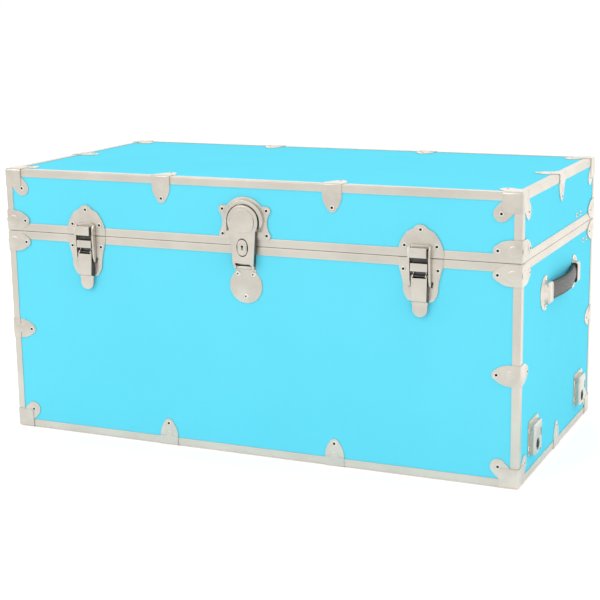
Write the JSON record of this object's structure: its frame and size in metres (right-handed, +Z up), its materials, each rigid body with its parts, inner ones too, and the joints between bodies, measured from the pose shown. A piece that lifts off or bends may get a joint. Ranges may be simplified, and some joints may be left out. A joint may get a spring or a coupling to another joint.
{
  "type": "storage trunk",
  "caption": "Rectangular footlocker-style storage trunk with hinged lid, metal-bound edges, draw latches, hasp lock and strap handles.",
  "frame": {"origin": "on the floor under the middle of the trunk's bounding box", "axes": "+X to the trunk's right end seen from the front, +Y from the front to the hinged back, +Z up"},
  "size_m": [0.8528, 0.4275, 0.4108],
  "materials": {
    "covering": "aqua vinyl, flat with a fine grain",
    "plywood": "raw plywood",
    "lining": "plain pale paper-backed lining",
    "binding": "satin aluminium",
    "hardware": "nickel-plated pressed steel",
    "grip": "black stitched strap"
  },
  "bodies": {
    "case": {"case_back_panel": "plywood", "case_bottom_panel": "plywood", "case_corner_caps": "hardware", "case_covering": "covering", "case_edge_bindings": "binding", "case_edge_clamps": "hardware", "case_front_panel": "plywood", "case_knee_clamps": "hardware", "case_left_panel": "plywood", "case_lining": "lining", "case_right_panel": "plywood", "case_rim_band": "binding", "case_rivets": "hardware", "case_screws": "hardware", "hinge_case_leaves": "hardware", "hinge_pins": "hardware", "latch_pivot_pins": "hardware", "left_handle_grip": "grip", "left_handle_loops": "hardware", "left_latch_base": "hardware", "lock_hinge_pin": "hardware", "lock_hinge_plate": "hardware", "right_handle_grip": "grip", "right_handle_loops": "hardware", "right_latch_base": "hardware", "stay_case_plates": "hardware", "wheel_sockets": "hardware"},
    "lid": {"lid_back_panel": "plywood", "lid_corner_caps": "hardware", "lid_covering": "covering", "lid_edge_bindings": "binding", "lid_edge_clamps": "hardware", "lid_front_panel": "plywood", "lid_knee_clamps": "hardware", "lid_left_panel": "plywood", "lid_lining": "lining", "lid_right_panel": "plywood", "lid_rim_band": "binding", "lid_rivets": "hardware", "lid_top_panel": "plywood", "left_latch_catch": "hardware", "right_latch_catch": "hardware", "lock_strike_plate": "hardware", "hinge_lid_leaves": "hardware", "stay_lid_plates": "hardware"},
    "left_latch_lever": {"left_latch_lever": "hardware", "left_latch_bail_pin": "hardware"},
    "left_latch_bail": {"left_latch_bail": "hardware"},
    "right_latch_lever": {"right_latch_lever": "hardware", "right_latch_bail_pin": "hardware"},
    "right_latch_bail": {"right_latch_bail": "hardware"},
    "hasp": {"hasp_shell": "hardware", "hasp_back_plate": "hardware"},
    "key_plug": {"key_plug": "hardware"},
    "lock_bolt": {"lock_bolt": "hardware"},
    "left_stay_arm": {"left_stay_arm": "hardware"},
    "right_stay_arm": {"right_stay_arm": "hardware"}
  },
  "joints": [
    {"name": "lid_hinge", "type": "hinge", "parent": "case", "child": "lid", "pos_m": [0, 0.2082, 0.3145], "axis": [-1, 0, 0], "range_deg": [0, 100]},
    {"name": "left_lever_pivot", "type": "hinge", "parent": "case", "child": "left_latch_lever", "pos_m": [-0.266, -0.2082, 0.2895], "axis": [-1, 0, 0], "range_deg": [0, 105]},
    {"name": "left_bail_pivot", "type": "hinge", "parent": "left_latch_lever", "child": "left_latch_bail", "pos_m": [-0.266, -0.2076, 0.2775], "axis": [1, 0, 0], "range_deg": [0, 105]},
    {"name": "right_lever_pivot", "type": "hinge", "parent": "case", "child": "right_latch_lever", "pos_m": [0.266, -0.2082, 0.2895], "axis": [-1, 0, 0], "range_deg": [0, 105]},
    {"name": "right_bail_pivot", "type": "hinge", "parent": "right_latch_lever", "child": "right_latch_bail", "pos_m": [0.266, -0.2076, 0.2775], "axis": [1, 0, 0], "range_deg": [0, 105]},
    {"name": "hasp_hinge", "type": "hinge", "parent": "case", "child": "hasp", "pos_m": [0, -0.2078, 0.284], "axis": [1, 0, 0], "range_deg": [0, 120]},
    {"name": "key_turn", "type": "hinge", "parent": "hasp", "child": "key_plug", "pos_m": [0, -0.2112, 0.3135], "axis": [0, -1, 0], "range_deg": [0, 90]},
    {"name": "bolt_slide", "type": "slide", "parent": "hasp", "child": "lock_bolt", "axis": [0, 0, 1], "range_m": [0, 0.00481]},
    {"name": "left_stay_pivot", "type": "hinge", "parent": "lid", "child": "left_stay_arm", "pos_m": [-0.3926, 0.13545, 0.3365], "axis": [1, 0, 0], "range_deg": [0, 50]},
    {"name": "right_stay_pivot", "type": "hinge", "parent": "lid", "child": "right_stay_arm", "pos_m": [0.3926, 0.13545, 0.3365], "axis": [1, 0, 0], "range_deg": [0, 50]}
  ],
  "couplings": [
    {"joint": "left_bail_pivot", "follows": "left_lever_pivot", "ratio": 1},
    {"joint": "right_bail_pivot", "follows": "right_lever_pivot", "ratio": 1},
    {"joint": "bolt_slide", "follows": "key_turn", "m_per_rad": 0.003061},
    {"joint": "left_stay_pivot", "follows": "lid_hinge", "ratio": 0.5},
    {"joint": "right_stay_pivot", "follows": "lid_hinge", "ratio": 0.5}
  ]
}
